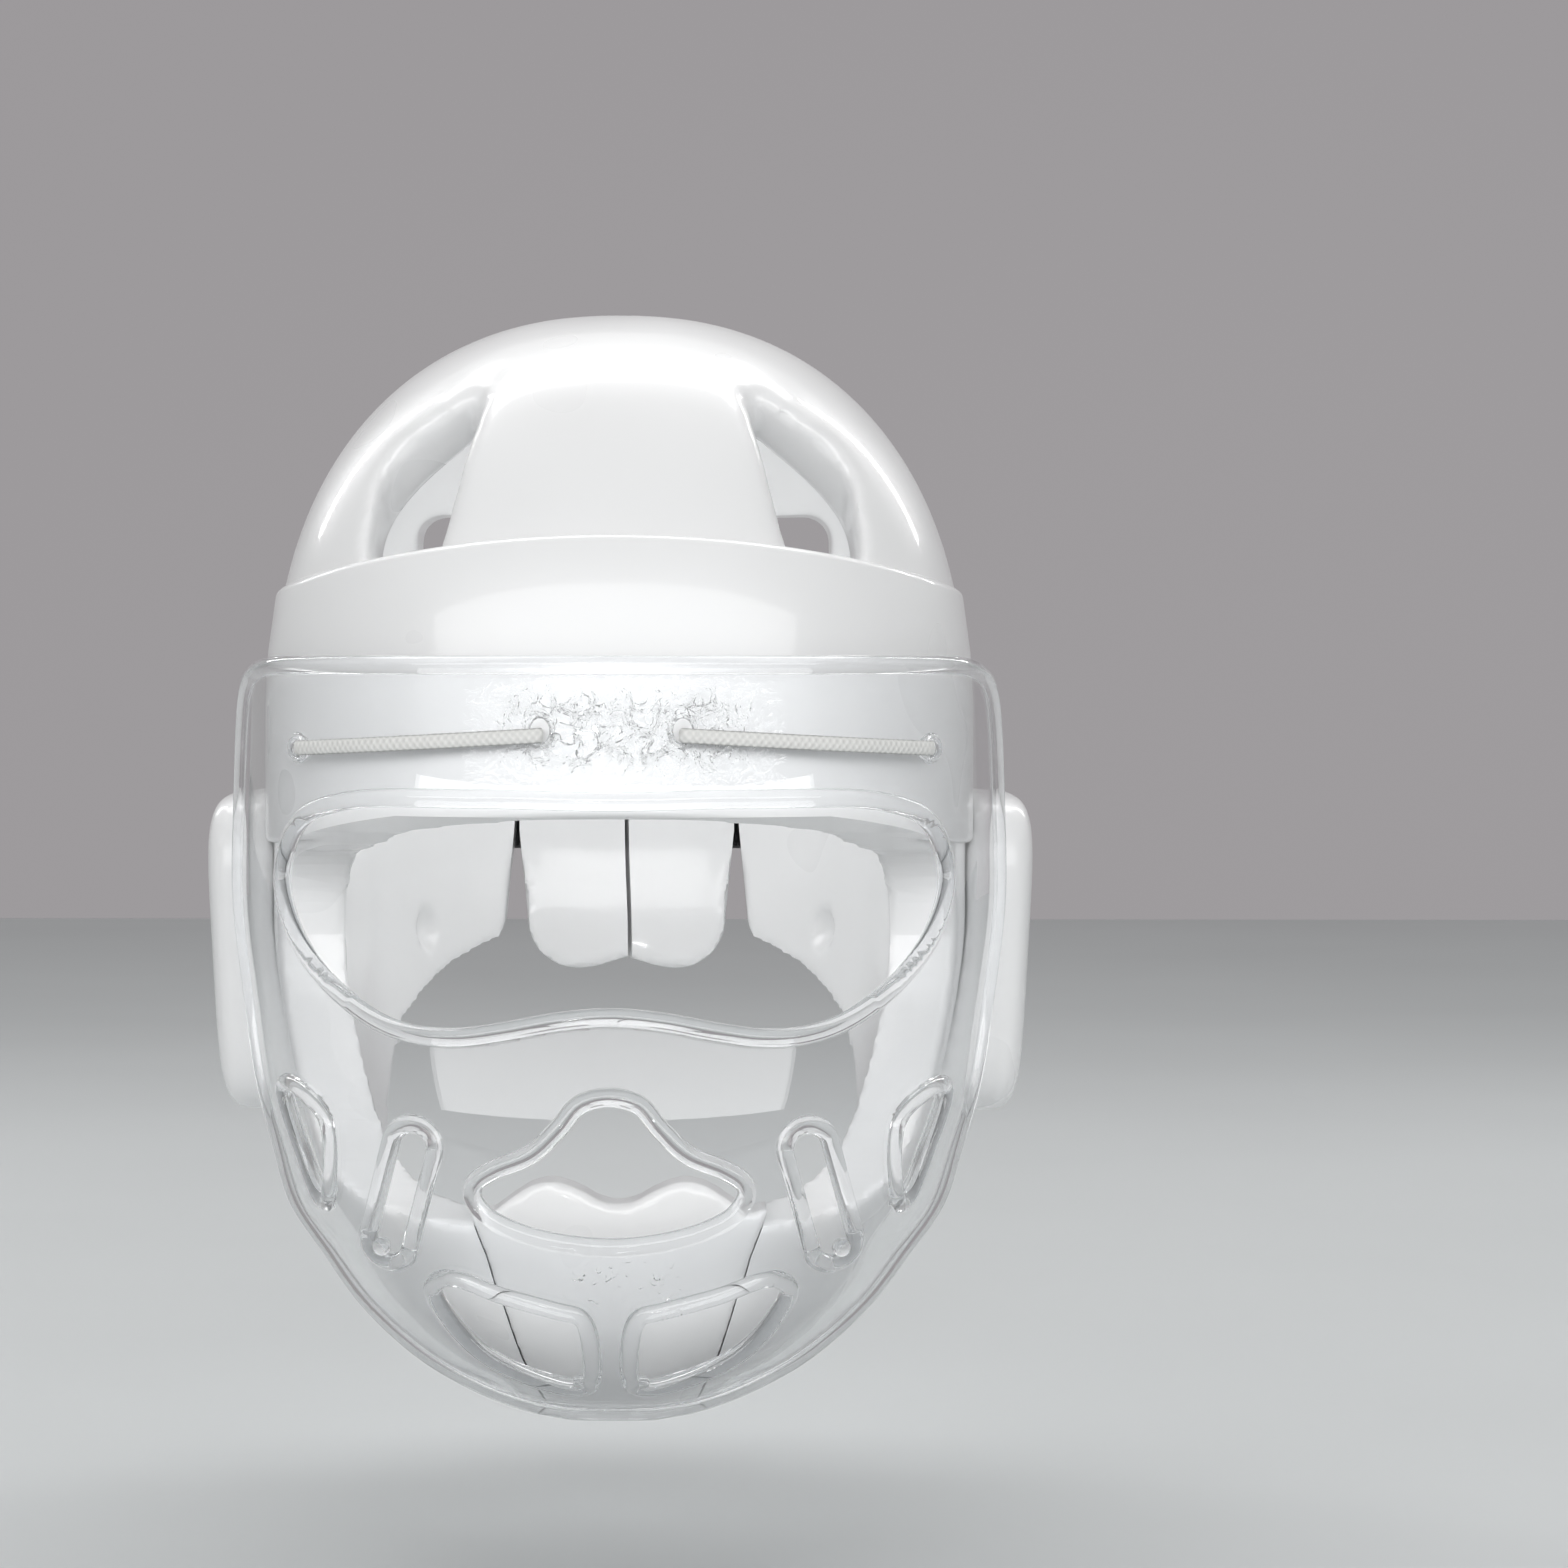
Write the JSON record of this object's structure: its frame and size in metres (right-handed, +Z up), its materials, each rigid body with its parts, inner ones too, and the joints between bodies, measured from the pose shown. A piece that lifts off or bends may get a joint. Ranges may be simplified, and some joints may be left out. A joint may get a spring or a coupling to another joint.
{
  "type": "karate head guard with face shield",
  "caption": "Full-face karate head guard: dipped-foam helmet with ear and chin pads and a clear shield tied on by laces.",
  "frame": {"origin": "inner top of the crown, on the mid plane, where the wearer's head carries the guard", "axes": "+Z up, the face opening and shield look along -Y, +X is the wearer's left, on the right as seen from the front"},
  "size_m": [0.2212, 0.261, 0.278],
  "materials": {
    "dipped_foam": "smooth glossy white vinyl dip over soft foam",
    "clear_shield": "clear polished polycarbonate",
    "white_lace": "flat woven white lace",
    "black_elastic": "woven black elastic"
  },
  "bodies": {
    "root": {"head_shell": "dipped_foam", "ear_pad_left": "dipped_foam", "ear_pad_right": "dipped_foam", "chin_pad": "dipped_foam", "face_shield": "clear_shield", "shield_tie_left": "white_lace", "shield_tie_right": "white_lace", "back_strap": "black_elastic"}
  },
  "joints": []
}
